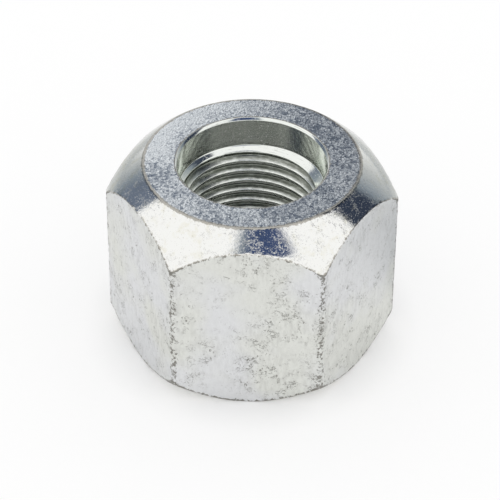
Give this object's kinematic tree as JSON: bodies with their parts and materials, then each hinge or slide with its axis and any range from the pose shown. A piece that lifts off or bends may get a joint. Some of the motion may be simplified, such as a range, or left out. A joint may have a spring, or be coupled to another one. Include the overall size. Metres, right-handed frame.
{
  "type": "ball seat wheel nut",
  "caption": "Open hexagonal wheel nut with a ball seat and flat rim on top, a counterbored mouth, a threaded through hole and a chamfered flat base.",
  "frame": {"origin": "on the axis of the threaded hole, in the plane of the flat base", "axes": "+Z along the hole, from the base to the rim with the ball seat; two opposite vertical edges lie on the X axis, and two flats face +Y and -Y"},
  "size_m": [0.05, 0.0436, 0.0349],
  "materials": {
    "zinc_plated_steel": "bright zinc plating with a clear blue passivation, matte and pitted on the forged flats, smooth on the turned seat, grained on the rim"
  },
  "bodies": {
    "root": {"cap_nut": "zinc_plated_steel"}
  },
  "joints": []
}
